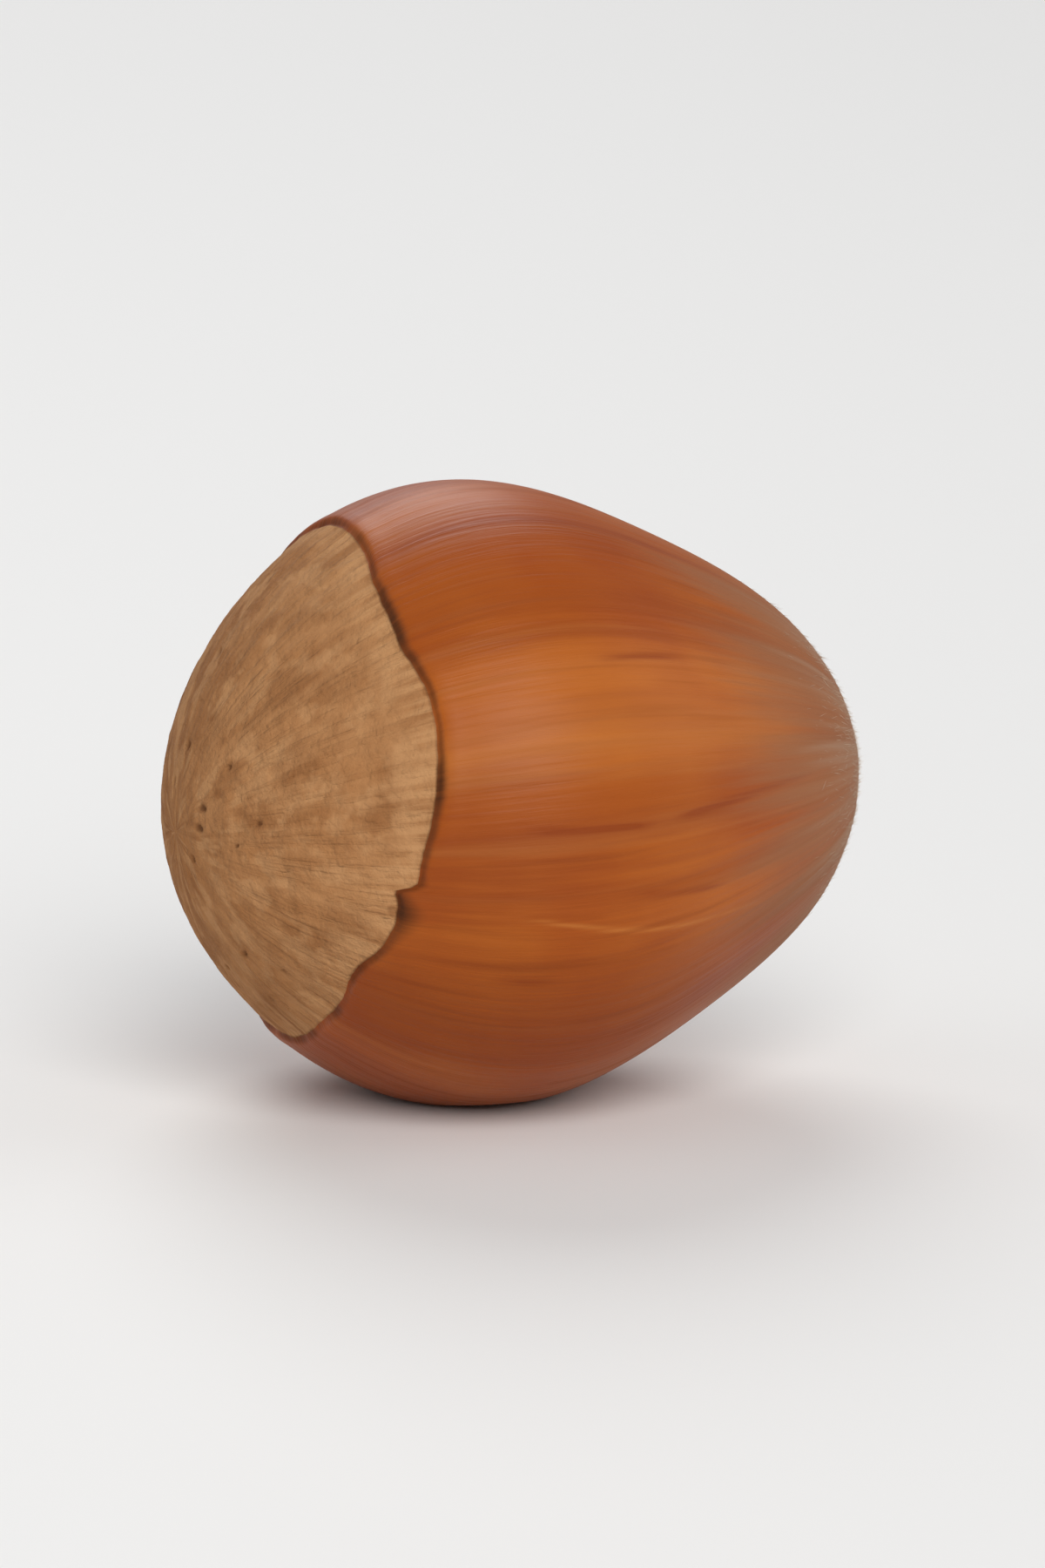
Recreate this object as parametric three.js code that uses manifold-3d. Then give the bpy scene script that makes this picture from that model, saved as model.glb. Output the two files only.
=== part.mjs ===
import * as THREE from "three";
import { mergeVertices } from "three/addons/utils/BufferGeometryUtils.js";
import Module from "manifold-3d";

// A round hazelnut in its shell, lying on its side with the tip towards +X and the scar,
// where it sat in its husk, towards -X. Millimetres, +Z up, origin under the middle.
//
// The nut grew as one closed shell, so it is one solid. Its surface is a distance from its
// middle, given by two angles in degrees: "down" runs from 0 at the tip to 180 at the base,
// and "turn" goes round the axis from the front (-Y) over the top (+Z).

// Driving dimensions.
const middleRadius = 9.35;
const alongShares = [0.036, 0.061, 0.043, 0.0285]; // longer tip, oval, taper, shoulder
const pressed = { share: 0.021, turn: 16.5 }; // slightly oval across the axis
const lobed = { share: 0.012, turn: -18 }; // three soft sides, one of them underneath
const nib = { height: 0.45, spread: 6 };

// The seam is the edge of the brown shell round the paler scar.
const seam = { down: 125.6, slant: 10.5, wave: 3.2, waveTurn: 22, depth: 0.16, halfWidth: 2 };
const seamBulge = { down: 4, turn: 58, spread: 16 }; // the shell reaches further down here
const scarInset = 0.1;

const axisTilt = 2.5; // the tip lies this many degrees above the level
const flatDepth = 0.45; // what the resting spot takes off the belly
const restingSpot = { x: -1.35, y: 0.35, side: 3.3, rise: 8 }; // its edges rise this many degrees

const stepsAround = 60;
const stepsTipToSeam = 24;
const stepsSeamToBase = 11;

const degrees = THREE.MathUtils.DEG2RAD;

// Defined for turns from 0 to 360.
function seamDown(turn) {
  const slanted = seam.slant * Math.sin(turn * degrees);
  const waved = seam.wave * Math.cos(2 * (turn - seam.waveTurn) * degrees);
  const fromBulge = (turn - seamBulge.turn) / seamBulge.spread;
  const bulged = seamBulge.down * Math.exp(-(fromBulge ** 2));
  return seam.down - slanted - waved + bulged;
}

// The smooth outside of the nut, without its seam.
function shellRadius(down, turn) {
  const across = Math.sin(down * degrees);
  let share = 1;
  alongShares.forEach((value, index) => {
    share += value * Math.cos((index + 1) * down * degrees);
  });
  share += pressed.share * across ** 2 * Math.cos(2 * (turn - pressed.turn) * degrees);
  share += lobed.share * across ** 3 * Math.cos(3 * (turn - lobed.turn) * degrees);
  return middleRadius * share + nib.height * Math.exp(-((down / nib.spread) ** 2));
}

// The groove of the seam, and the scar that lies a little lower than the shell's edge.
function sunkDepth(down, turn) {
  const past = down - seamDown(turn);
  const groove = seam.depth * Math.exp(-((past / seam.halfWidth) ** 2));
  return groove + scarInset * THREE.MathUtils.smoothstep(past, 0, seam.halfWidth);
}

// Rings of points follow the seam: even steps up to its lip, one ring in the groove,
// and even steps over the scar.
function ringDown(ring, turn) {
  const middle = seamDown(turn);
  if (ring <= stepsTipToSeam) {
    return ((middle - seam.halfWidth) * ring) / stepsTipToSeam;
  }
  if (ring === stepsTipToSeam + 1) {
    return middle;
  }
  const lowerLip = middle + seam.halfWidth;
  const share = (ring - stepsTipToSeam - 2) / stepsSeamToBase;
  return lowerLip + (180 - lowerLip) * share;
}

function nutPoint(down, turn) {
  const radius = shellRadius(down, turn) - sunkDepth(down, turn);
  const across = radius * Math.sin(down * degrees);
  return new THREE.Vector3(
    radius * Math.cos(down * degrees),
    -across * Math.cos(turn * degrees),
    across * Math.sin(turn * degrees),
  );
}

// A unit sphere whose rings and steps are moved to the nut's own places. The sphere's
// steps go round the other way, so the turn counts down.
function nutSurface() {
  const ringSteps = stepsTipToSeam + stepsSeamToBase + 2;
  const geometry = new THREE.SphereGeometry(1, stepsAround, ringSteps);
  const stepsPerRing = stepsAround + 1;
  for (let index = 0; index < geometry.attributes.position.count; index += 1) {
    const ring = Math.floor(index / stepsPerRing);
    const step = (index % stepsPerRing) % stepsAround;
    const turn = 360 - (360 * step) / stepsAround;
    const point = nutPoint(ringDown(ring, turn), turn);
    geometry.attributes.position.setXYZ(index, point.x, point.y, point.z);
  }
  geometry.deleteAttribute("normal");
  geometry.deleteAttribute("uv");
  return mergeVertices(geometry, 1e-4);
}

// Tilts the nut, puts its middle over the origin and sinks it by the flat's depth.
function layDown(geometry) {
  geometry.rotateY(-axisTilt * degrees);
  geometry.computeBoundingBox();
  const box = geometry.boundingBox;
  const middle = box.getCenter(new THREE.Vector3());
  geometry.translate(-middle.x, -middle.y, -(box.min.z + flatDepth));
  return geometry;
}

const wasm = await Module();
wasm.setup();

function toSolid(geometry) {
  return new wasm.Manifold(
    new wasm.Mesh({
      numProp: 3,
      vertProperties: new Float32Array(geometry.attributes.position.array),
      triVerts: new Uint32Array(geometry.index.array),
    }),
  );
}

function toGeometry(solid) {
  const mesh = solid.getMesh();
  const geometry = new THREE.BufferGeometry();
  geometry.setAttribute("position", new THREE.BufferAttribute(mesh.vertProperties, 3));
  geometry.setIndex(new THREE.BufferAttribute(mesh.triVerts, 1));
  geometry.computeVertexNormals();
  return geometry;
}

// What the resting spot leaves of the space: a four-sided funnel that stands on the spot and
// is wider than the nut everywhere but at the belly.
function spaceAboveSpot() {
  const height = 3 * middleRadius;
  const widened = height / Math.tan(restingSpot.rise * degrees);
  const cornerOfSide = Math.SQRT2 / 2;
  const bottom = restingSpot.side * cornerOfSide;
  const top = (restingSpot.side + 2 * widened) * cornerOfSide;
  const funnel = new THREE.CylinderGeometry(top, bottom, height, 4);
  funnel.rotateY(45 * degrees);
  funnel.rotateX(90 * degrees);
  funnel.translate(restingSpot.x, restingSpot.y, height / 2);
  funnel.deleteAttribute("normal");
  funnel.deleteAttribute("uv");
  return mergeVertices(funnel);
}

function hazelnutGeometry() {
  const whole = toSolid(layDown(nutSurface()));
  return toGeometry(whole.intersect(toSolid(spaceAboveSpot())));
}

const shellBrown = new THREE.MeshStandardMaterial({
  color: 0xab5a20,
  roughness: 0.45,
  metalness: 0,
});

const hazelnut = new THREE.Mesh(hazelnutGeometry(), shellBrown);
hazelnut.name = "hazelnut";

const part = new THREE.Group();
part.add(hazelnut);

export default part;
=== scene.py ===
import math

import bpy
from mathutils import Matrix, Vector


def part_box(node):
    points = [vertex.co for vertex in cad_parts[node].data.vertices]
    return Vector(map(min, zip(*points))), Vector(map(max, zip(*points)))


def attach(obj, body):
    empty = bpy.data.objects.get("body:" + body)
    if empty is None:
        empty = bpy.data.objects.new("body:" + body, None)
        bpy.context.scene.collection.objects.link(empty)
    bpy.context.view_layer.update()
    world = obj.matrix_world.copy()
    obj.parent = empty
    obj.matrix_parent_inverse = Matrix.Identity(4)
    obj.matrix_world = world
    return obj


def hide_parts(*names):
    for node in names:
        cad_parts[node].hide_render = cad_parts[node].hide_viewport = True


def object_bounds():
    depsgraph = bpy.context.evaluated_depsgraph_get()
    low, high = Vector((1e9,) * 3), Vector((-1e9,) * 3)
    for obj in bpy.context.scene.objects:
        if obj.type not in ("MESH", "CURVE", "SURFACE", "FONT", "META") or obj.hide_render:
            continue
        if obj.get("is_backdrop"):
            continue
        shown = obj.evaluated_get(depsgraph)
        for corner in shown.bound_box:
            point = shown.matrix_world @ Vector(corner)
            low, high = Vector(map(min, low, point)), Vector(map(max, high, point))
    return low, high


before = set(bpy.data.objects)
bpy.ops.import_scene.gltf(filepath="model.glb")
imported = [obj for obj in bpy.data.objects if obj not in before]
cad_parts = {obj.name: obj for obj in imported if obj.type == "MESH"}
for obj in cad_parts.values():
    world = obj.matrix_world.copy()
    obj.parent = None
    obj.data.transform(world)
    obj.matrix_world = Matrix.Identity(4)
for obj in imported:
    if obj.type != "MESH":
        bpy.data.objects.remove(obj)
cadBox = [list(corner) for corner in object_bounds()]
mm = 0.001
print("frame loaded")


# ways to fill a node tree, used by the geometry trees and by the materials

def feed(tree, socket, value):
    if isinstance(value, bpy.types.NodeSocket):
        tree.links.new(value, socket)
    else:
        socket.default_value = value


def addNode(tree, kind, values=None, **settings):
    node = tree.nodes.new(kind)
    for name, setting in settings.items():
        setattr(node, name, setting)
    for name, value in (values or {}).items():
        feed(tree, node.inputs[name], value)
    return node


def calc(tree, operation, *values):
    node = addNode(tree, "ShaderNodeMath", operation=operation)
    for socket, value in zip(node.inputs, values):
        feed(tree, socket, value)
    return node.outputs[0]


def times(tree, value, *others):
    for other in others:
        value = calc(tree, "MULTIPLY", value, other)
    return value


def addUp(tree, values):
    total = values[0]
    for value in values[1:]:
        total = calc(tree, "ADD", total, value)
    return total


# value taken from one range to another and held at its ends
def spread(tree, value, fromRange, toRange=(0.0, 1.0), shape="LINEAR"):
    node = addNode(tree, "ShaderNodeMapRange", interpolation_type=shape)
    for socket, given in zip(node.inputs, (value, *fromRange, *toRange)):
        feed(tree, socket, given)
    return node.outputs[0]


# 1 at the middle, falling off softly to both sides
def bell(tree, value, middle, width):
    away = calc(tree, "DIVIDE", calc(tree, "SUBTRACT", value, middle), width)
    return calc(tree, "EXPONENT", times(tree, away, away, -1.0))


def vector(tree, x, y, z):
    return addNode(tree, "ShaderNodeCombineXYZ", {"X": x, "Y": y, "Z": z}).outputs[0]


def separated(tree, value):
    return addNode(tree, "ShaderNodeSeparateXYZ", {"Vector": value}).outputs


def noise(tree, where, scale=1.0, detail=2.0, roughness=0.5):
    values = {"Vector": where, "Scale": scale, "Detail": detail, "Roughness": roughness}
    return addNode(tree, "ShaderNodeTexNoise", values).outputs[0]


# geometry passed on through one node
def through(tree, kind, geometry, values=None):
    return addNode(tree, kind, {"Geometry": geometry, **(values or {})}).outputs[0]


# a place on the nut for lengthwise grain: round the axis it closes on itself, and the streaks
# run along the nut. fineness is how often it changes round the nut, perLength along it
def grainPlace(tree, turn, along, fineness, perLength, seed):
    across = times(tree, calc(tree, "COSINE", turn), fineness)
    up = times(tree, calc(tree, "SINE", turn), fineness)
    length = times(tree, along, perLength)
    return vector(tree, across, up, calc(tree, "ADD", length, seed))


# the nut's shell: sizes in mm and degrees. "down" is the angle from the tip to the base, and
# "turn" goes round the axis from the front over the top

shellShape = {
    "Middle Radius": 9.35,
    "Nib Height": 0.45,
    "Nib Spread": 6.0,
    "Axis Tilt": 2.5,
    "Flat Depth": 0.45,
    "Spot X": -1.35,
    "Spot Y": 0.35,
    "Spot Side": 3.3,
    "Spot Rise": 8.0,
    "Rib Height": 0.10,
    "Ridge Height": 0.022,
    "Seam Depth": 0.15,
    "Seam Width": 0.12,
    "Seam Jags": 0.9,
    "Scar Inset": 0.12,
    "Fibre Height": 0.09,
    "Pit Depth": 0.10,
    "Grain Seed": 4.0,
}
shellMesh = {"Steps Around": 400, "Rings": 238}
alongShares = (0.036, 0.061, 0.043, 0.0285)     # longer tip, oval, taper, shoulder
acrossShares = {2: (0.021, 16.5), 3: (0.012, -18.0)}     # lobes round the axis: share and turn
seamPlace = {"down": 125.6, "slant": 10.5, "wave": 3.2, "waveTurn": 22.0}
# where the shell's edge reaches further down than its wave, or less far: turn, reach, half width
seamReaches = [
    (58, 4.0, 16), (43, 1.7, 8), (12, -1.0, 14), (-12, -1.9, 8), (-30, 2.3, 9),
    (-75, -2.0, 16), (100, -1.8, 12), (140, 2.2, 9), (-150, 1.8, 11), (-118, -1.6, 9),
]
tornEdge = {"fineness": 13.0, "detail": 3.0, "roughness": 0.6}
seamSplinter = {"from": -4.8, "to": -6.6, "gone": -22.0, "reach": 3.6}
ringPlan = {"tip": 0.0, "aboveSeam": 0.47, "belowSeam": 0.62, "base": 1.0, "band": 4.0}


# angle from the tip at which the brown shell ends, with its torn edge
def seamDown(tree, turn, jags, seed):
    slanted = times(tree, calc(tree, "SINE", turn), -math.radians(seamPlace["slant"]))
    fromWave = calc(tree, "SUBTRACT", turn, math.radians(seamPlace["waveTurn"]))
    wave = calc(tree, "COSINE", times(tree, fromWave, 2.0))
    waved = times(tree, wave, -math.radians(seamPlace["wave"]))
    line = [math.radians(seamPlace["down"]), slanted, waved]
    for middle, reach, halfWidth in seamReaches:
        swell = bell(tree, turn, math.radians(middle), math.radians(halfWidth))
        line.append(times(tree, swell, math.radians(reach)))
    where = grainPlace(tree, turn, 0.0, tornEdge["fineness"], 0.0, seed)
    fine = noise(tree, where, detail=tornEdge["detail"], roughness=tornEdge["roughness"])
    line.append(times(tree, calc(tree, "SUBTRACT", fine, 0.5), calc(tree, "RADIANS", jags)))
    # one splinter of shell that steps down into the scar at the front
    edges = {name: math.radians(value) for name, value in seamSplinter.items()}
    stepped = spread(tree, turn, (edges["from"], edges["to"]), (0.0, edges["reach"]), "SMOOTHSTEP")
    faded = spread(tree, turn, (edges["to"], edges["gone"]), (1.0, 0.0))
    line.append(times(tree, stepped, faded))
    return addUp(tree, line)


# rings are close together at the seam, and follow it
def ringDown(tree, ringShare, seam):
    band = math.radians(ringPlan["band"])
    tipPart = spread(tree, ringShare, (ringPlan["tip"], ringPlan["aboveSeam"]),
                     (0.0, calc(tree, "SUBTRACT", seam, band)))
    seamPart = spread(tree, ringShare, (ringPlan["aboveSeam"], ringPlan["belowSeam"]),
                      (0.0, 2.0 * band))
    basePart = spread(tree, ringShare, (ringPlan["belowSeam"], ringPlan["base"]),
                      (0.0, calc(tree, "SUBTRACT", math.pi - band, seam)))
    return addUp(tree, [tipPart, seamPart, basePart])


# distance from the nut's middle to its smooth outside
def smoothRadius(tree, given, down, turn):
    shares = [1.0]
    for order, share in enumerate(alongShares, start=1):
        wave = calc(tree, "COSINE", times(tree, down, float(order)))
        shares.append(times(tree, wave, share))
    for lobes, (share, lobeTurn) in acrossShares.items():
        fromLobe = calc(tree, "SUBTRACT", turn, math.radians(lobeTurn))
        wave = calc(tree, "COSINE", times(tree, fromLobe, float(lobes)))
        fade = calc(tree, "POWER", calc(tree, "SINE", down), float(lobes))
        shares.append(times(tree, wave, fade, share))
    body = times(tree, addUp(tree, shares), given["Middle Radius"])
    nib = bell(tree, calc(tree, "DEGREES", down), 0.0, given["Nib Spread"])
    return calc(tree, "ADD", body, times(tree, nib, given["Nib Height"]))


# lengthwise noise that the relief is made of: fineness, times per mm, detail and roughness
reliefGrain = {
    "ribs": (3.2, 0.035, 1.0, 0.5),
    "ridges": (17.0, 0.09, 2.0, 0.5),
    "fibres": (9.0, 0.22, 3.0, 0.6),
    "gaps": (4.0, 0.0, 2.0, 0.5),
}
# where each kind of relief starts and is whole: mm past the seam, or mm along from the tip
reliefReach = {
    "shell": (0.15, -0.5),
    "off the tip": (1.0, 6.0),
    "scar": (0.1, 0.5),
    "off the base": (28.0, 24.0),
    "inset": (-0.05, 0.25),
}
shellLip = {"past": -0.4, "width": 0.3, "height": 0.03}
scarGrit = {"scale": 1.6, "detail": 4.0, "roughness": 0.65}
ribMiddle = 0.55
seamGap = {"noise": (0.35, 0.6), "depth": (-0.2, -1.0)}


# what stands up from the smooth outside, in mm, on the brown shell and on the scar
def shellRelief(tree, given, turn, along, past, smoothPlace):
    def grainNoise(name, length):
        fineness, perLength, detail, roughness = reliefGrain[name]
        where = grainPlace(tree, turn, length, fineness, perLength, given["Grain Seed"])
        return noise(tree, where, detail=detail, roughness=roughness)

    def reached(name, value):
        return spread(tree, value, reliefReach[name], shape="SMOOTHSTEP")

    ribs = calc(tree, "SUBTRACT", grainNoise("ribs", along), ribMiddle)
    ribs = times(tree, ribs, given["Rib Height"])
    ridges = calc(tree, "SUBTRACT", grainNoise("ridges", along), 0.5)
    ridges = times(tree, ridges, given["Ridge Height"])
    onShell = times(tree, reached("shell", past), reached("off the tip", along))
    shell = times(tree, addUp(tree, [ribs, ridges]), onShell)
    lip = times(tree, bell(tree, past, shellLip["past"], shellLip["width"]), shellLip["height"])

    fibres = calc(tree, "SUBTRACT", grainNoise("fibres", along), 0.5)
    fibres = times(tree, fibres, reached("off the base", along))
    grit = calc(tree, "SUBTRACT", noise(tree, smoothPlace, **scarGrit), 0.5)
    scar = times(tree, addUp(tree, [fibres, grit]), given["Fibre Height"], reached("scar", past))

    gap = spread(tree, grainNoise("gaps", 0.0), seamGap["noise"], seamGap["depth"])
    gap = times(tree, gap, given["Seam Depth"])
    groove = times(tree, bell(tree, past, 0.0, given["Seam Width"]), gap)
    inset = times(tree, reached("inset", past), times(tree, given["Scar Inset"], -1.0))
    return addUp(tree, [shell, lip, scar, groove, inset])


# pits lie between two distances from the middle of the base, all in mm
pitPlan = {
    "bend": {"Scale": 0.9, "Detail": 2.0},
    "cells": {"Scale": 0.95, "Randomness": 1.0},
    "sizes": (0.08, 0.22),
    "softness": 0.3,
    "left out": 0.35,
    "outer": (6.4, 4.6),
    "inner": (0.6, 1.6),
}


# small dark pits on the scar, in a loose ring round the middle of the base
def scarPits(tree, smoothPlace, fromBase):
    bend = {"Vector": smoothPlace, **pitPlan["bend"]}
    bent = addNode(tree, "ShaderNodeTexNoise", bend).outputs["Color"]
    shifted = addNode(tree, "ShaderNodeVectorMath", operation="ADD")
    feed(tree, shifted.inputs[0], smoothPlace)
    feed(tree, shifted.inputs[1], bent)
    spots = {"Vector": shifted.outputs[0], **pitPlan["cells"]}
    cells = addNode(tree, "ShaderNodeTexVoronoi", spots)
    chances = separated(tree, cells.outputs["Color"])
    size = spread(tree, chances[0], (0.0, 1.0), pitPlan["sizes"])
    rim = (size, times(tree, size, pitPlan["softness"]))
    dot = spread(tree, cells.outputs["Distance"], rim, shape="SMOOTHSTEP")
    picked = calc(tree, "GREATER_THAN", chances[1], pitPlan["left out"])
    ring = times(tree, spread(tree, fromBase, pitPlan["outer"], shape="SMOOTHSTEP"),
                 spread(tree, fromBase, pitPlan["inner"], shape="SMOOTHSTEP"))
    return times(tree, dot, picked, ring)


def keepAttribute(tree, geometry, kind, name, value, domain="POINT"):
    values = {"Geometry": geometry, "Name": name}
    node = addNode(tree, "GeometryNodeStoreNamedAttribute", values, data_type=kind, domain=domain)
    feed(tree, next(s for s in node.inputs if s.name == "Value" and s.enabled), value)
    return node.outputs["Geometry"]


def readAttribute(tree, kind, name):
    node = addNode(tree, "GeometryNodeInputNamedAttribute", {"Name": name}, data_type=kind)
    return next(s for s in node.outputs if s.enabled)


# the level below which nothing of the nut is left: the ground under its small four-cornered
# resting spot, and gently rising from the spot's edges
def restingLevel(tree, given, x, y, ground):
    away = []
    for value, name in ((x, "Spot X"), (y, "Spot Y")):
        middle = times(tree, given[name], mm)
        away.append(calc(tree, "ABSOLUTE", calc(tree, "SUBTRACT", value, middle)))
    halfSide = times(tree, given["Spot Side"], mm / 2)
    outside = calc(tree, "SUBTRACT", calc(tree, "MAXIMUM", *away), halfSide)
    slope = calc(tree, "TANGENT", calc(tree, "RADIANS", given["Spot Rise"]))
    rise = times(tree, calc(tree, "MAXIMUM", outside, 0.0), slope)
    return calc(tree, "ADD", ground, rise)


spotRounding = 0.03     # of the spot's edges, in mm


# the nut fitted into its box, with the belly cut off at the resting spot
def laidInBox(tree, given, nut):
    ends = addNode(tree, "GeometryNodeBoundBox", {"Geometry": nut})
    lift = vector(tree, 0.0, 0.0, given["Flat Depth"])
    lowEnd = addNode(tree, "ShaderNodeVectorMath", operation="ADD")
    feed(tree, lowEnd.inputs[0], ends.outputs["Min"])
    feed(tree, lowEnd.inputs[1], lift)
    position = addNode(tree, "GeometryNodeInputPosition").outputs[0]
    fromEnds = (lowEnd.outputs[0], ends.outputs["Max"])
    toEnds = (given["Lowest Corner"], given["Highest Corner"])
    fitted = addNode(tree, "ShaderNodeMapRange", data_type="FLOAT_VECTOR", clamp=False)
    vectorInputs = [s for s in fitted.inputs if s.enabled]
    for socket, value in zip(vectorInputs, (position, *fromEnds, *toEnds)):
        feed(tree, socket, value)
    x, y, z = separated(tree, next(s for s in fitted.outputs if s.enabled))
    ground = separated(tree, given["Lowest Corner"])["Z"]
    level = restingLevel(tree, given, x, y, ground)
    lifted = calc(tree, "SMOOTH_MAX", z, level, spotRounding * mm)
    return through(tree, "GeometryNodeSetPosition", nut, {"Position": vector(tree, x, y, lifted)})


scarStart = 0.05     # mm past the seam from which faces have the scar's material


def nutShellTree():
    tree = bpy.data.node_groups.new("nut shell", "GeometryNodeTree")
    tree.is_modifier = True
    for name in shellMesh:
        tree.interface.new_socket(name=name, in_out="INPUT", socket_type="NodeSocketInt")
    for name in shellShape:
        tree.interface.new_socket(name=name, in_out="INPUT", socket_type="NodeSocketFloat")
    for name in ("Lowest Corner", "Highest Corner"):
        tree.interface.new_socket(name=name, in_out="INPUT", socket_type="NodeSocketVector")
    for name in ("Shell Material", "Scar Material"):
        tree.interface.new_socket(name=name, in_out="INPUT", socket_type="NodeSocketMaterial")
    tree.interface.new_socket(name="Nut", in_out="OUTPUT", socket_type="NodeSocketGeometry")
    given = addNode(tree, "NodeGroupInput").outputs

    ball = addNode(tree, "GeometryNodeMeshUVSphere",
                   {"Segments": given["Steps Around"], "Rings": given["Rings"], "Radius": 1.0})
    startX, startY, startZ = separated(tree, addNode(tree, "GeometryNodeInputPosition").outputs[0])
    # the ball's steps go round the other way, so its y is turned over
    turn = calc(tree, "ARCTAN2", times(tree, startY, -1.0), startX)
    squares = [times(tree, startX, startX), times(tree, startY, startY)]
    fromAxis = calc(tree, "SQRT", addUp(tree, squares))
    ringShare = calc(tree, "DIVIDE", calc(tree, "ARCTAN2", fromAxis, startZ), math.pi)
    seam = seamDown(tree, turn, given["Seam Jags"], given["Grain Seed"])
    down = ringDown(tree, ringShare, seam)
    along = times(tree, down, given["Middle Radius"])
    past = times(tree, calc(tree, "SUBTRACT", down, seam), given["Middle Radius"])
    fromBase = times(tree, calc(tree, "SUBTRACT", math.pi, down), given["Middle Radius"])

    def place(radius):
        across = times(tree, radius, calc(tree, "SINE", down))
        x = times(tree, radius, calc(tree, "COSINE", down))
        y = times(tree, across, calc(tree, "COSINE", turn), -1.0)
        return vector(tree, x, y, times(tree, across, calc(tree, "SINE", turn)))

    radius = smoothRadius(tree, given, down, turn)
    smoothPlace = place(radius)
    pits = scarPits(tree, smoothPlace, fromBase)
    relief = shellRelief(tree, given, turn, along, past, smoothPlace)
    relief = calc(tree, "SUBTRACT", relief, times(tree, pits, given["Pit Depth"]))

    # the fields are kept before the points move, because they are worked out from the ball
    nut = ball.outputs["Mesh"]
    grain = vector(tree, calc(tree, "COSINE", turn), calc(tree, "SINE", turn), along)
    nut = keepAttribute(tree, nut, "FLOAT_VECTOR", "grain", grain)
    nut = keepAttribute(tree, nut, "FLOAT", "pastSeam", past)
    nut = keepAttribute(tree, nut, "FLOAT", "scarPits", pits)
    shaped = place(calc(tree, "ADD", radius, relief))
    tilt = times(tree, calc(tree, "RADIANS", given["Axis Tilt"]), -1.0)
    turned = {"Vector": shaped, "Angle": tilt}
    tilted = addNode(tree, "ShaderNodeVectorRotate", turned, rotation_type="Y_AXIS").outputs[0]
    nut = through(tree, "GeometryNodeSetPosition", nut, {"Position": tilted})
    nut = laidInBox(tree, given, nut)

    nut = through(tree, "GeometryNodeSetShadeSmooth", nut)
    nut = through(tree, "GeometryNodeRealizeInstances", nut)
    nut = through(tree, "GeometryNodeSetMaterial", nut, {"Material": given["Shell Material"]})
    onScar = addNode(tree, "FunctionNodeCompare", data_type="FLOAT", operation="GREATER_THAN")
    feed(tree, onScar.inputs[0], readAttribute(tree, "FLOAT", "pastSeam"))
    onScar.inputs[1].default_value = scarStart
    scar = {"Selection": onScar.outputs[0], "Material": given["Scar Material"]}
    nut = through(tree, "GeometryNodeSetMaterial", nut, scar)
    addNode(tree, "NodeGroupOutput", {"Nut": nut})
    return tree


# runs a geometry tree, on a mesh or on nothing, and returns the result as a plain mesh object
def grow(name, tree, settings, ground=None):
    ground = ground or bpy.data.meshes.new(name + " ground")
    seedling = bpy.data.objects.new(name + " seedling", ground)
    bpy.context.scene.collection.objects.link(seedling)
    modifier = seedling.modifiers.new("grow", "NODES")
    modifier.node_group = tree
    for item in tree.interface.items_tree:
        if item.in_out == "INPUT" and item.name in settings:
            modifier[item.identifier] = settings[item.name]
    bpy.context.view_layer.update()
    evaluated = seedling.evaluated_get(bpy.context.evaluated_depsgraph_get())
    mesh = bpy.data.meshes.new_from_object(evaluated, preserve_all_data_layers=True,
                                           depsgraph=bpy.context.evaluated_depsgraph_get())
    seedling.modifiers.remove(modifier)
    bpy.data.objects.remove(seedling)
    mesh.name = name
    grown = bpy.data.objects.new(name, mesh)
    bpy.context.scene.collection.objects.link(grown)
    return grown


# shader groups that both materials use

def newShaderGroup(name, place, numbers, outputs):
    tree = bpy.data.node_groups.new(name, "ShaderNodeTree")
    tree.interface.new_socket(name=place, in_out="INPUT", socket_type="NodeSocketVector")
    for label in numbers:
        tree.interface.new_socket(name=label, in_out="INPUT", socket_type="NodeSocketFloat")
    for label in outputs:
        tree.interface.new_socket(name=label, in_out="OUTPUT", socket_type="NodeSocketFloat")
    return tree


streakInputs = ("Fineness", "Per Length", "Seed", "From", "To")
streakNoise = {"detail": 3.0, "roughness": 0.55}


def grainStreaksGroup():
    tree = newShaderGroup("grain streaks", "Grain", streakInputs, ["Mask"])
    given = addNode(tree, "NodeGroupInput").outputs
    parts = separated(tree, given["Grain"])
    across = times(tree, parts["X"], given["Fineness"])
    up = times(tree, parts["Y"], given["Fineness"])
    length = calc(tree, "ADD", times(tree, parts["Z"], given["Per Length"]), given["Seed"])
    streak = noise(tree, vector(tree, across, up, length), **streakNoise)
    mask = spread(tree, streak, (given["From"], given["To"]), shape="SMOOTHSTEP")
    addNode(tree, "NodeGroupOutput", {"Mask": mask})
    return tree


speckSoftness = 0.4


def specksGroup():
    tree = newShaderGroup("specks", "Position", ("Per mm", "Size", "Share"), ["Mask"])
    given = addNode(tree, "NodeGroupInput").outputs
    scale = times(tree, given["Per mm"], 1.0 / mm)
    cells = addNode(tree, "ShaderNodeTexVoronoi", {"Vector": given["Position"], "Scale": scale})
    chance = addNode(tree, "ShaderNodeSeparateColor", {"Color": cells.outputs["Color"]}).outputs[0]
    rim = (given["Size"], times(tree, given["Size"], speckSoftness))
    dot = spread(tree, cells.outputs["Distance"], rim, shape="SMOOTHSTEP")
    picked = calc(tree, "LESS_THAN", chance, given["Share"])
    addNode(tree, "NodeGroupOutput", {"Mask": times(tree, dot, picked)})
    return tree


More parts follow.
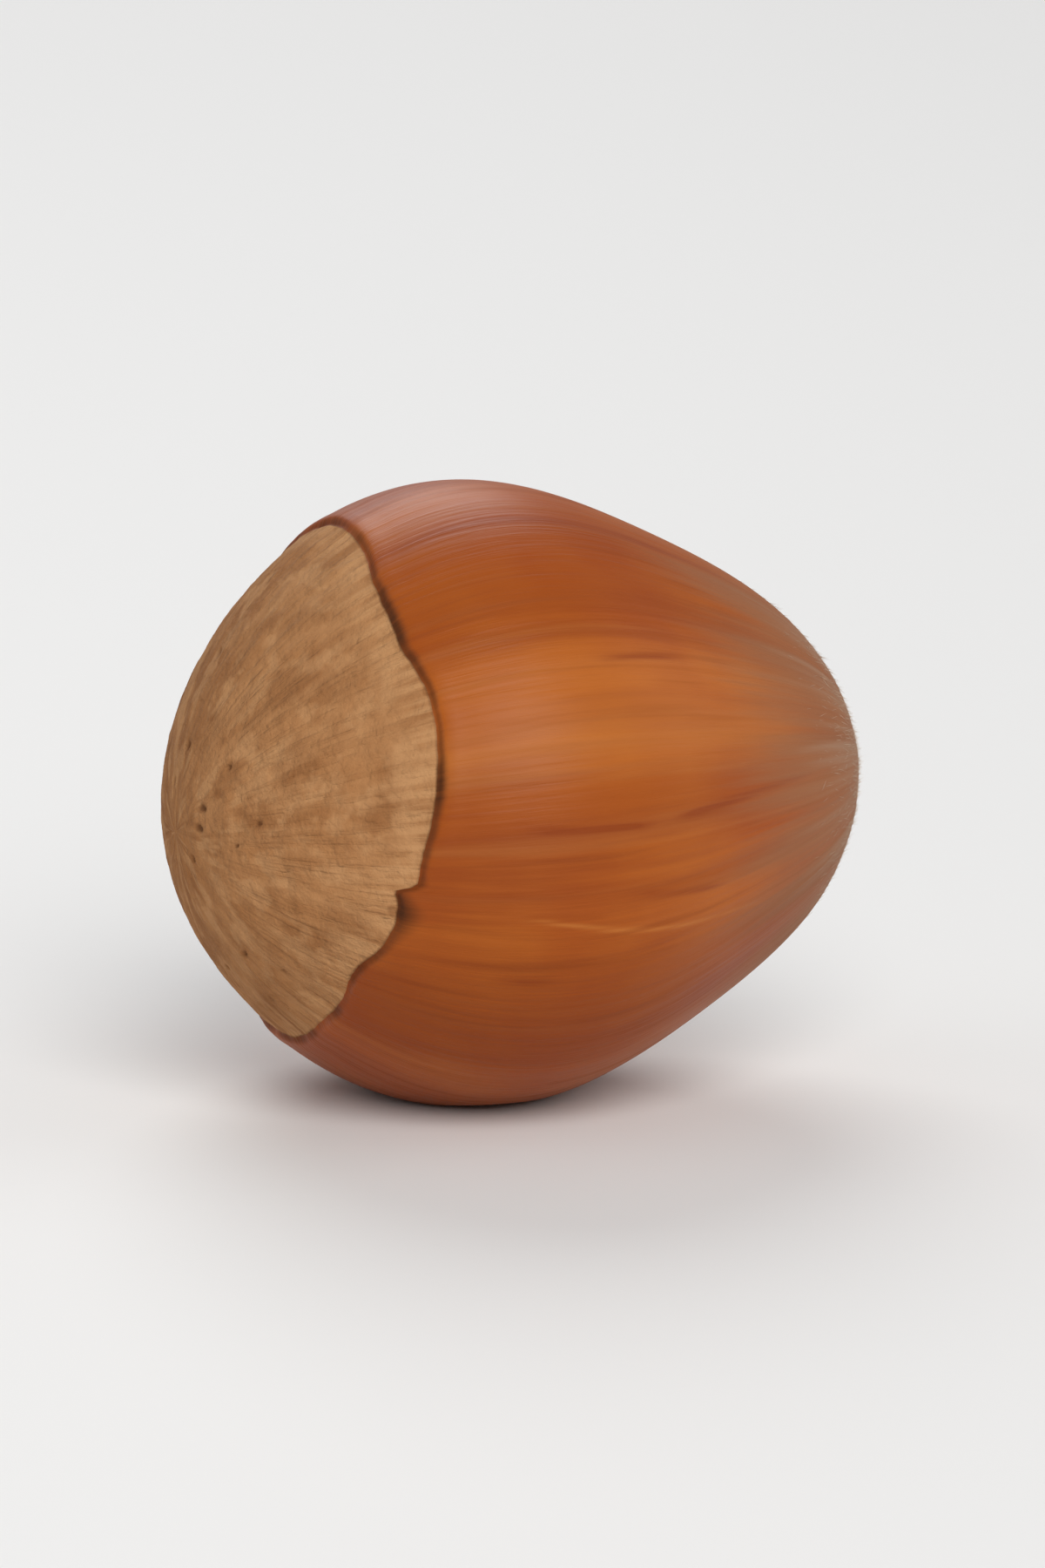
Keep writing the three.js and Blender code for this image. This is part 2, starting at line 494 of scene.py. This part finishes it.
# the turn round the nut and the way down from its tip, in degrees
def nutAnglesGroup():
    tree = newShaderGroup("nut angles", "Grain", (), ["Turn", "Down"])
    given = addNode(tree, "NodeGroupInput").outputs
    parts = separated(tree, given["Grain"])
    turn = calc(tree, "DEGREES", calc(tree, "ARCTAN2", parts["Y"], parts["X"]))
    down = calc(tree, "DEGREES", calc(tree, "DIVIDE", parts["Z"], shellShape["Middle Radius"]))
    addNode(tree, "NodeGroupOutput", {"Turn": turn, "Down": down})
    return tree


grainStreaks = grainStreaksGroup()
specks = specksGroup()
nutAngles = nutAnglesGroup()


def useGroup(tree, group, values):
    node = tree.nodes.new("ShaderNodeGroup")
    node.node_tree = group
    for name, value in values.items():
        feed(tree, node.inputs[name], value)
    return node.outputs


def streaks(tree, grain, *settings):
    values = dict(zip(streakInputs, settings))
    return useGroup(tree, grainStreaks, {"Grain": grain, **values})["Mask"]


def attribute(tree, name, output):
    return addNode(tree, "ShaderNodeAttribute", attribute_name=name).outputs[output]


# one colour laid over another through a mask
def layOver(tree, under, over, mask):
    node = addNode(tree, "ShaderNodeMix", data_type="RGBA")
    enabled = [s for s in node.inputs if s.enabled]
    for socket, value in zip(enabled, (mask, under, over)):
        if isinstance(value, tuple):
            value = (*value, 1.0)
        feed(tree, socket, value)
    return next(s for s in node.outputs if s.enabled)


def newMaterial(name):
    material = bpy.data.materials.new(name)
    material.use_nodes = True
    material.node_tree.nodes.clear()
    return material, material.node_tree


# colours laid over a ground in turn: each one's name, its mask and how much of it shows
def layered(tree, colours, ground, layers):
    colour = colours[ground]
    for name, mask, share in layers:
        colour = layOver(tree, colour, colours[name], times(tree, mask, share))
    return colour


def finishMaterial(tree, colour, roughness, height, finish):
    relief = {"Height": height, "Strength": 1.0, "Distance": finish["relief"] * mm}
    bump = addNode(tree, "ShaderNodeBump", relief)
    look = {"Base Color": colour, "Roughness": roughness, "Specular IOR Level": finish["gloss"]}
    look["Normal"] = bump.outputs[0]
    shader = addNode(tree, "ShaderNodeBsdfPrincipled", look)
    addNode(tree, "ShaderNodeOutputMaterial", {"Surface": shader.outputs[0]})


seamMarks = [(50, 17), (14, 9), (-11, 7)]     # where the seam is darkest: turn and half width
seamPatches = {"streaks": (4.0, 0.0, 5.0, 0.36, 0.60), "share": 0.6, "tone": (0.18, 1.0)}
seamCrumbs = {"streaks": (24.0, 0.0, 6.0, 0.30, 0.60), "tone": (0.75, 1.0)}


# how dark the seam's line is round the nut: 1 where it is marked, down to a faint line elsewhere
def seamDarkness(tree, grain):
    turn = useGroup(tree, nutAngles, {"Grain": grain})["Turn"]
    patches = times(tree, streaks(tree, grain, *seamPatches["streaks"]), seamPatches["share"])
    for middle, halfWidth in seamMarks:
        patches = calc(tree, "MAXIMUM", patches, bell(tree, turn, middle, halfWidth))
    crumbs = streaks(tree, grain, *seamCrumbs["streaks"])
    return times(tree, spread(tree, patches, (0.0, 1.0), seamPatches["tone"]),
                 spread(tree, crumbs, (0.0, 1.0), seamCrumbs["tone"]))


# broad stripes on the front: turn, half width, and how pale (above 0) or dark they are
# the narrow stripes are the shell's own banding; the wide dark ones at 66 and -38 degrees are
# painted shade that darkens the top and the underside, and the pale ones at 19 and 31 degrees are
# partly paler banding and partly a painted highlight where the sheen lies
shellStripesWithPaintedLight = [
    (31, 6, 0.30), (19, 5, 0.75), (46, 7, -0.45), (66, 12, -0.45),
    (3, 2.4, -0.55), (-9, 2.4, -0.45), (-24, 7, -0.35), (-38, 12, -0.60),
]
# single marks: turn at the start, drift, start and end in degrees from the tip, half width, tone
shellMarks = [
    (34, -1, 70, 86, 0.8, -0.9), (8, -4, 38, 75, 0.9, -1.0), (3, 2, 84, 104, 0.7, -1.0),
    (-11, 3, 66, 86, 0.7, -0.8), (-23, 0, 100, 108, 1.0, -0.9), (-20, 9, 54, 104, 0.5, 1.0),
]
markEnd = 4     # degrees over which a mark fades at each end, to either side
stripeStart = (28, 48)     # degrees from the tip
waver = {
    "stripes": ((5.0, 0.04, 61.0, 0.3, 0.7), (-2.0, 2.0)),
    "marks": ((9.0, 0.10, 67.0, 0.3, 0.7), (-0.5, 0.5)),
    "broken": ((60.0, 0.12, 71.0, 0.35, 0.65), (0.35, 1.0)),
}


# masks of what is paler and what is darker than the shell, both wavering a little: the shell's own
# bands and marks, with a painted highlight and painted shade from the broad stripes
def shellTonesWithPaintedLight(tree, grain):
    turn, down = useGroup(tree, nutAngles, {"Grain": grain})
    wavers = {}
    for name, (settings, ends) in waver.items():
        wavers[name] = spread(tree, streaks(tree, grain, *settings), (0.0, 1.0), ends)
    swayed = calc(tree, "ADD", turn, wavers["stripes"])
    quivered = calc(tree, "ADD", turn, wavers["marks"])
    tonesWithPaintedLight = {"pale": [], "dark": []}
    away = spread(tree, down, stripeStart, shape="SMOOTHSTEP")
    for middle, halfWidth, tone in shellStripesWithPaintedLight:
        stripe = times(tree, bell(tree, swayed, middle, halfWidth), abs(tone), away)
        tonesWithPaintedLight["pale" if tone > 0 else "dark"].append(stripe)
    for start, drift, top, bottom, halfWidth, tone in shellMarks:
        line = spread(tree, down, (top, bottom), (start, start + drift))
        fromLine = calc(tree, "SUBTRACT", quivered, line)
        mark = times(tree, bell(tree, fromLine, 0.0, halfWidth), abs(tone))
        for end in ((top - markEnd, top + markEnd), (bottom + markEnd, bottom - markEnd)):
            mark = times(tree, mark, spread(tree, down, end, shape="SMOOTHSTEP"))
        tonesWithPaintedLight["pale" if tone > 0 else "dark"].append(times(tree, mark, wavers["broken"]))
    return {name: calc(tree, "MINIMUM", addUp(tree, masks), 1.0) for name, masks in tonesWithPaintedLight.items()}


shellColours = {
    "brown": (0.325, 0.064, 0.005),
    "warm": (0.400, 0.100, 0.010),
    "streak": (0.215, 0.034, 0.003),
    "dark": (0.115, 0.019, 0.003),
    "pale streak": (0.440, 0.150, 0.036),
    # paler banding of the shell, also used as a painted highlight along the front
    "pale band and painted highlight": (0.500, 0.165, 0.030),
    "tip": (0.270, 0.118, 0.054),
    "ashy tip": (0.330, 0.195, 0.122),
    "nib": (0.130, 0.062, 0.030),
    "seam": (0.072, 0.020, 0.004),
}
# fineness, times per mm, seed, and the noise at which each kind of streak starts and is full
shellStreaks = {
    "bands": (3.2, 0.04, 11.0, 0.38, 0.64),
    "dark": (8.5, 0.07, 3.0, 0.50, 0.78),
    "fine": (30.0, 0.14, 7.0, 0.50, 0.74),
    "pale": (10.0, 0.05, 19.0, 0.52, 0.76),
    "long reach": (6.0, 0.05, 23.0, 0.3, 0.7),
    "short reach": (26.0, 0.2, 29.0, 0.3, 0.7),
    "ridges": (46.0, 0.22, 31.0, 0.3, 0.7),
}
cloudTone = (0.36, 0.64)     # the noise at which clouds start and are full
shellClouds = {"scale": 170.0, "detail": 3.0}
shellFuzz = {"scale": 4200.0, "detail": 2.0}
fuzzHeight = (0.2, 1.2)     # off the down, and on it
tipReach = {"long": 3.0, "short": 1.6}     # how much less far the down reaches in its gaps, in mm
# mm from the tip at which each of its colours starts and is full
tipFade = {"tip": (13.0, 7.0), "down": (8.0, 3.6), "nib": (0.50, 0.22)}
# how far up the shell the seam's dark line reaches, in mm, and how much wider it is at the splinter
seamLine = {"faint": 0.14, "marked": 0.24, "end": -0.03}
splinterWidening = {"turn": -11.5, "spread": 6.0, "width": 0.55}
shellFinish = {"roughness": (0.42, 0.80), "relief": 0.009, "gloss": 0.17}
dullShares = {"fine": 0.3, "tip": 0.5, "down": 0.5}     # how much each roughens the shell


# the dark line along the shell's torn edge, more and wider in some places than in others
def shellEdge(tree, grain, past):
    darkness = seamDarkness(tree, grain)
    turn = useGroup(tree, nutAngles, {"Grain": grain})["Turn"]
    # at the splinter the dark line reaches further up the shell
    atSplinter = bell(tree, turn, splinterWidening["turn"], splinterWidening["spread"])
    width = addUp(tree, [seamLine["faint"], times(tree, darkness, seamLine["marked"]),
                         times(tree, atSplinter, splinterWidening["width"])])
    edge = spread(tree, past, (times(tree, width, -1.0), seamLine["end"]), shape="SMOOTHSTEP")
    return times(tree, edge, darkness)


def nutShellMaterial():
    material, tree = newMaterial("nut shell")
    grain = attribute(tree, "grain", "Vector")
    past = attribute(tree, "pastSeam", "Fac")
    along = separated(tree, grain)["Z"]
    position = addNode(tree, "ShaderNodeTexCoord").outputs["Object"]
    masks = {name: streaks(tree, grain, *settings) for name, settings in shellStreaks.items()}
    clouds = spread(tree, noise(tree, position, **shellClouds), cloudTone)
    tonesWithPaintedLight = shellTonesWithPaintedLight(tree, grain)
    edge = shellEdge(tree, grain, past)

    # the down pales the tip, and reaches further along some streaks than others
    reach = addUp(tree, [along, times(tree, masks["long reach"], tipReach["long"]),
                         times(tree, masks["short reach"], tipReach["short"])])
    tipward = spread(tree, reach, tipFade["tip"], shape="SMOOTHSTEP")
    downy = spread(tree, reach, tipFade["down"], shape="SMOOTHSTEP")
    nib = spread(tree, along, tipFade["nib"], shape="SMOOTHSTEP")

    colour = layered(tree, shellColours, "brown", [
        ("warm", clouds, 1.0),
        ("streak", masks["bands"], 0.35),
        ("streak", masks["dark"], 0.60),
        ("dark", masks["fine"], 0.20),
        ("pale streak", masks["pale"], 0.35),
        # the pale tones lay on a painted highlight and the dark tones painted shade on the top and
        # the underside, besides the shell's own bands and marks
        ("pale band and painted highlight", tonesWithPaintedLight["pale"], 0.60),
        ("streak", tonesWithPaintedLight["dark"], 0.80),
        ("tip", tipward, 0.75),
        ("ashy tip", downy, 0.80),
        ("nib", nib, 0.80),
        ("seam", edge, 1.0),
    ])
    dullness = addUp(tree, [times(tree, masks["fine"], dullShares["fine"]),
                            times(tree, tipward, dullShares["tip"]),
                            times(tree, downy, dullShares["down"]), edge])
    roughness = spread(tree, dullness, (0.0, 1.0), shellFinish["roughness"])
    fuzz = noise(tree, position, **shellFuzz)
    fuzz = times(tree, fuzz, spread(tree, downy, (0.0, 1.0), fuzzHeight))
    height = addUp(tree, [masks["ridges"], fuzz])
    finishMaterial(tree, colour, roughness, height, shellFinish)
    return material


scarColours = {
    "tan": (0.370, 0.163, 0.058),
    "cream": (0.520, 0.275, 0.120),
    "brown": (0.215, 0.080, 0.024),
    "pit": (0.100, 0.034, 0.011),
    "seam": shellColours["seam"],
}
scarStreaks = {
    "fibres": (8.0, 0.22, 4.0, 0.42, 0.66),
    "fine fibres": (30.0, 0.45, 8.0, 0.45, 0.70),
    "patches": (3.6, 0.55, 51.0, 0.42, 0.60),
    "cream patches": (5.0, 0.75, 57.0, 0.48, 0.62),
    "fringe": (22.0, 0.2, 41.0, 0.40, 0.62),
}
scarClouds = {"scale": 210.0, "detail": 4.0, "roughness": 0.6}
scarMeal = {"scale": 900.0, "detail": 4.0, "roughness": 0.65}
mealTone = (0.38, 0.66)
scarGrain = {"scale": 2600.0, "detail": 4.0, "roughness": 0.65}
scarDirt = {"Per mm": 0.9, "Size": 0.20, "Share": 0.25}
# mm along from the tip, or past the seam, at which each starts and is full
scarFade = {"fibres": (28.0, 23.5), "fringe": (1.6, 0.3), "edge": (0.13, 0.04)}
scarFinish = {"roughness": 0.9, "relief": 0.08, "gloss": 0.15}
scarHeights = {"meal": 0.8, "fibres": 0.35}


def baseScarMaterial():
    material, tree = newMaterial("base scar")
    grain = attribute(tree, "grain", "Vector")
    past = attribute(tree, "pastSeam", "Fac")
    pits = attribute(tree, "scarPits", "Fac")
    along = separated(tree, grain)["Z"]
    position = addNode(tree, "ShaderNodeTexCoord").outputs["Object"]
    masks = {name: streaks(tree, grain, *settings) for name, settings in scarStreaks.items()}

    # the fibres fan out from the base, and are lost in mealy grain towards its middle
    fanned = spread(tree, along, scarFade["fibres"], shape="SMOOTHSTEP")
    fibres = times(tree, masks["fibres"], fanned)
    fineFibres = times(tree, masks["fine fibres"], fanned)
    clouds = spread(tree, noise(tree, position, **scarClouds), cloudTone)
    meal = spread(tree, noise(tree, position, **scarMeal), mealTone)
    dirt = useGroup(tree, specks, {"Position": position, **scarDirt})["Mask"]
    fringe = spread(tree, past, scarFade["fringe"], shape="SMOOTHSTEP")
    fringe = times(tree, fringe, masks["fringe"])
    edge = spread(tree, past, scarFade["edge"], shape="SMOOTHSTEP")
    edge = times(tree, edge, seamDarkness(tree, grain))

    colour = layered(tree, scarColours, "tan", [
        ("cream", clouds, 0.35),
        ("brown", masks["patches"], 0.45),
        ("cream", masks["cream patches"], 0.60),
        ("cream", fibres, 0.35),
        ("brown", meal, 0.30),
        ("brown", fineFibres, 0.22),
        ("brown", dirt, 0.55),
        ("cream", fringe, 0.70),
        ("pit", pits, 0.75),
        ("seam", edge, 1.0),
    ])
    grit = noise(tree, position, **scarGrain)
    height = addUp(tree, [grit, times(tree, meal, scarHeights["meal"]),
                          times(tree, fineFibres, scarHeights["fibres"])])
    finishMaterial(tree, colour, scarFinish["roughness"], height, scarFinish)
    return material


nutTree = nutShellTree()
lowCorner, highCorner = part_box("hazelnut")
nut = grow("nut_shell", nutTree, {
    **shellShape, **shellMesh,
    "Lowest Corner": tuple(lowCorner), "Highest Corner": tuple(highCorner),
    "Shell Material": nutShellMaterial(), "Scar Material": baseScarMaterial(),
})
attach(nut, "root")
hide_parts("hazelnut")
print("shell grown:", len(nut.data.vertices), "points,", len(nut.data.polygons), "faces")


# the down: short pale hairs that lie along the shell towards the tip

downShape = {
    "Hairs per mm2": 120.0,
    "Length": 0.34,
    "Thickness": 0.015,
    "Reach": 6.5,
    "Rise": 0.26,
    "Straying": 0.50,
    "Seed": 7,
}
hairMap = "OFBake"     # the hairs' own map: across it by tone, up it from foot to point
downColours = {"foot": (0.33, 0.19, 0.11), "tan": (0.42, 0.29, 0.19), "cream": (0.60, 0.49, 0.38)}
downFinish = {"foot": 0.6, "roughness": 0.7}     # the share of a hair that has its foot's tint
# mm along from the tip where it is thickest, and where it starts past the nib
downPlace = {"thick": 0.8, "nib": (0.5, 0.9)}
downPatches = {"scale": 5.0, "noise": (0.35, 0.6), "share": (0.35, 1.0)}
hairSizes = (0.45, 1.0)
hairTones = (0.02, 0.97)
hairMapWidth = 0.02     # of one hair on the map
hairSides = {"Vertices": 3, "Side Segments": 2, "Radius Top": 0.0}


def tipDownTree():
    tree = bpy.data.node_groups.new("tip down", "GeometryNodeTree")
    tree.is_modifier = True
    tree.interface.new_socket(name="Shell", in_out="INPUT", socket_type="NodeSocketGeometry")
    for name in downShape:
        kind = "NodeSocketInt" if name == "Seed" else "NodeSocketFloat"
        tree.interface.new_socket(name=name, in_out="INPUT", socket_type=kind)
    for name in ("Tip", "Lowest Corner", "Highest Corner"):
        tree.interface.new_socket(name=name, in_out="INPUT", socket_type="NodeSocketVector")
    tree.interface.new_socket(name="Hair Material", in_out="INPUT", socket_type="NodeSocketMaterial")
    tree.interface.new_socket(name="Down", in_out="OUTPUT", socket_type="NodeSocketGeometry")
    given = addNode(tree, "NodeGroupInput").outputs

    # thick at the tip, and thinner out to its reach
    grain = readAttribute(tree, "FLOAT_VECTOR", "grain")
    along = separated(tree, grain)["Z"]
    thickness = spread(tree, along, (given["Reach"], downPlace["thick"]), shape="SMOOTHSTEP")
    patchy = noise(tree, grain, scale=downPatches["scale"])
    patchy = spread(tree, patchy, downPatches["noise"], downPatches["share"])
    offNib = spread(tree, along, downPlace["nib"])
    mostHairs = calc(tree, "DIVIDE", given["Hairs per mm2"], mm * mm)
    density = times(tree, times(tree, thickness, patchy, offNib), mostHairs)
    scatter = {"Mesh": given["Shell"], "Density": density, "Seed": given["Seed"]}
    points = addNode(tree, "GeometryNodeDistributePointsOnFaces", scatter)
    points.distribute_method = "RANDOM"

    def vectorCalc(operation, first, second):
        node = addNode(tree, "ShaderNodeVectorMath", operation=operation)
        feed(tree, node.inputs[0], first)
        if operation == "SCALE":
            feed(tree, node.inputs["Scale"], second)
        elif second is not None:
            feed(tree, node.inputs[1], second)
        return node.outputs[0]

    def chance(low, high, kind, seed):
        node = addNode(tree, "FunctionNodeRandomValue", data_type=kind)
        sockets = [s for s in node.inputs if s.enabled]
        feed(tree, sockets[0], low)
        feed(tree, sockets[1], high)
        feed(tree, node.inputs["Seed"], seed)
        return next(s for s in node.outputs if s.enabled)

    here = addNode(tree, "GeometryNodeInputPosition").outputs[0]
    towardsTip = vectorCalc("NORMALIZE", vectorCalc("SUBTRACT", given["Tip"], here), None)
    risen = vectorCalc("SCALE", points.outputs["Normal"], given["Rise"])
    anyWay = chance((-1, -1, -1), (1, 1, 1), "FLOAT_VECTOR", 1)
    strayed = vectorCalc("SCALE", anyWay, given["Straying"])
    heading = vectorCalc("ADD", vectorCalc("ADD", towardsTip, risen), strayed)
    facing = addNode(tree, "FunctionNodeAlignRotationToVector", {"Vector": heading}, axis="Z")

    # one hair is a fine three-sided spike that stands on its own foot
    length = times(tree, given["Length"], mm)
    sizes = {"Radius Bottom": times(tree, given["Thickness"], mm / 2), "Depth": length}
    cone = addNode(tree, "GeometryNodeMeshCone", {**hairSides, **sizes}, fill_type="NGON")
    hair = cone.outputs["Mesh"]
    parts = separated(tree, here)
    rise = calc(tree, "DIVIDE", parts["Z"], length)
    hair = keepAttribute(tree, hair, "FLOAT", "rise", rise)
    hair = keepAttribute(tree, hair, "FLOAT", "side", calc(tree, "GREATER_THAN", parts["X"], 0.0))
    size = chance(*hairSizes, "FLOAT", 2)
    planted = {"Points": points.outputs["Points"], "Instance": hair, "Rotation": facing.outputs[0]}
    hairs = addNode(tree, "GeometryNodeInstanceOnPoints", {**planted, "Scale": size})
    tone = chance(*hairTones, "FLOAT", 3)
    down = keepAttribute(tree, hairs.outputs[0], "FLOAT", "tone", tone, "INSTANCE")
    down = through(tree, "GeometryNodeRealizeInstances", down)
    held = vectorCalc("MINIMUM", here, given["Highest Corner"])
    held = vectorCalc("MAXIMUM", held, given["Lowest Corner"])
    down = through(tree, "GeometryNodeSetPosition", down, {"Position": held})
    tone, side, rise = (readAttribute(tree, "FLOAT", name) for name in ("tone", "side", "rise"))
    across = calc(tree, "ADD", tone, times(tree, side, hairMapWidth))
    down = keepAttribute(tree, down, "FLOAT2", hairMap, vector(tree, across, rise, 0.0), "CORNER")
    for name in ("tone", "side", "rise"):
        down = through(tree, "GeometryNodeRemoveAttribute", down, {"Name": name})
    down = through(tree, "GeometryNodeSetMaterial", down, {"Material": given["Hair Material"]})
    addNode(tree, "NodeGroupOutput", {"Down": down})
    return tree


def tipDownMaterial():
    material, tree = newMaterial("tip down")
    place = addNode(tree, "ShaderNodeUVMap", uv_map=hairMap).outputs[0]
    parts = separated(tree, place)
    colour = layOver(tree, downColours["tan"], downColours["cream"], parts["X"])
    risen = spread(tree, parts["Y"], (0.0, downFinish["foot"]))
    colour = layOver(tree, downColours["foot"], colour, risen)
    look = {"Base Color": colour, "Roughness": downFinish["roughness"]}
    shader = addNode(tree, "ShaderNodeBsdfPrincipled", look)
    addNode(tree, "ShaderNodeOutputMaterial", {"Surface": shader.outputs[0]})
    return material


tipPoint = max((vertex.co for vertex in nut.data.vertices), key=lambda place: place.x)
down = grow("tip_down", tipDownTree(), {
    **downShape, "Tip": tuple(tipPoint),
    "Lowest Corner": tuple(lowCorner), "Highest Corner": tuple(highCorner),
    "Hair Material": tipDownMaterial(),
}, nut.data)
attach(down, "root")
print("down grown:", len(down.data.polygons), "faces")


# the table it lies on

tableLook = {"size": 6.0, "colour": (0.82, 0.81, 0.79), "roughness": 0.6}


def paleTable():
    half = tableLook["size"] / 2
    mesh = bpy.data.meshes.new("pale table")
    corners = [(-half, -half, 0), (half, -half, 0), (half, half, 0), (-half, half, 0)]
    mesh.from_pydata(corners, [], [(0, 1, 2, 3)])
    table = bpy.data.objects.new("pale table", mesh)
    bpy.context.scene.collection.objects.link(table)
    material, tree = newMaterial("pale table")
    look = {"Base Color": (*tableLook["colour"], 1.0), "Roughness": tableLook["roughness"]}
    shader = addNode(tree, "ShaderNodeBsdfPrincipled", look)
    addNode(tree, "ShaderNodeOutputMaterial", {"Surface": shader.outputs[0]})
    mesh.materials.append(material)
    table.location.z = lowCorner.z
    table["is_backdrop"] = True


paleTable()


# camera and soft studio light, placed round the nut's middle

viewPlan = {"azimuth": -22.0, "elevation": 10.0, "lens": 135.0, "filmWidth": 24.0, "nutShare": 0.70}
lightDistance = 2.0
lightPlan = [
    {"name": "key", "azimuth": -8.0, "elevation": 36.0, "size": 1.5, "power": 33.0},
    {"name": "left fill", "azimuth": -110.0, "elevation": 25.0, "size": 1.5, "power": 4.0},
    {"name": "right fill", "azimuth": 75.0, "elevation": 28.0, "size": 1.6, "power": 7.0},
    {"name": "rim", "azimuth": 170.0, "elevation": 40.0, "size": 1.3, "power": 14.0},
]
sky = {"Color": (0.93, 0.95, 1.0, 1.0), "Strength": 0.28}

nutMiddle = (lowCorner + highCorner) / 2


def outwards(azimuth, elevation):
    a, e = math.radians(azimuth), math.radians(elevation)
    return Vector((math.sin(a) * math.cos(e), -math.cos(a) * math.cos(e), math.sin(e)))


def aimAtNut(thing, direction, distance):
    thing.location = nutMiddle + direction * distance
    thing.rotation_euler = direction.to_track_quat("Z", "Y").to_euler()
    bpy.context.scene.collection.objects.link(thing)


def addCamera():
    data = bpy.data.cameras.new("camera")
    data.sensor_fit = "HORIZONTAL"
    data.sensor_width = viewPlan["filmWidth"]
    data.lens = viewPlan["lens"]
    camera = bpy.data.objects.new("camera", data)
    pictureWidth = (highCorner.x - lowCorner.x) / viewPlan["nutShare"]
    distance = pictureWidth * viewPlan["lens"] / viewPlan["filmWidth"]
    data.clip_start = 0.1 * distance
    aimAtNut(camera, outwards(viewPlan["azimuth"], viewPlan["elevation"]), distance)
    bpy.context.scene.camera = camera


def addLights():
    for plan in lightPlan:
        data = bpy.data.lights.new(plan["name"], "AREA")
        data.shape = "DISK"
        data.size = plan["size"]
        data.energy = plan["power"]
        light = bpy.data.objects.new(plan["name"], data)
        aimAtNut(light, outwards(plan["azimuth"], plan["elevation"]), lightDistance)
    world = bpy.data.worlds.new("soft room")
    world.use_nodes = True
    for name, value in sky.items():
        world.node_tree.nodes["Background"].inputs[name].default_value = value
    bpy.context.scene.world = world
    bpy.context.scene.view_settings.view_transform = "Standard"


addCamera()
addLights()
print("camera and lights set")

visualBox = [list(corner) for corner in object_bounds()]
for label, (low, high) in (("CAD", cadBox), ("visual", visualBox)):
    print(label, "size in mm:", [round((b - a) / mm, 3) for a, b in zip(low, high)])
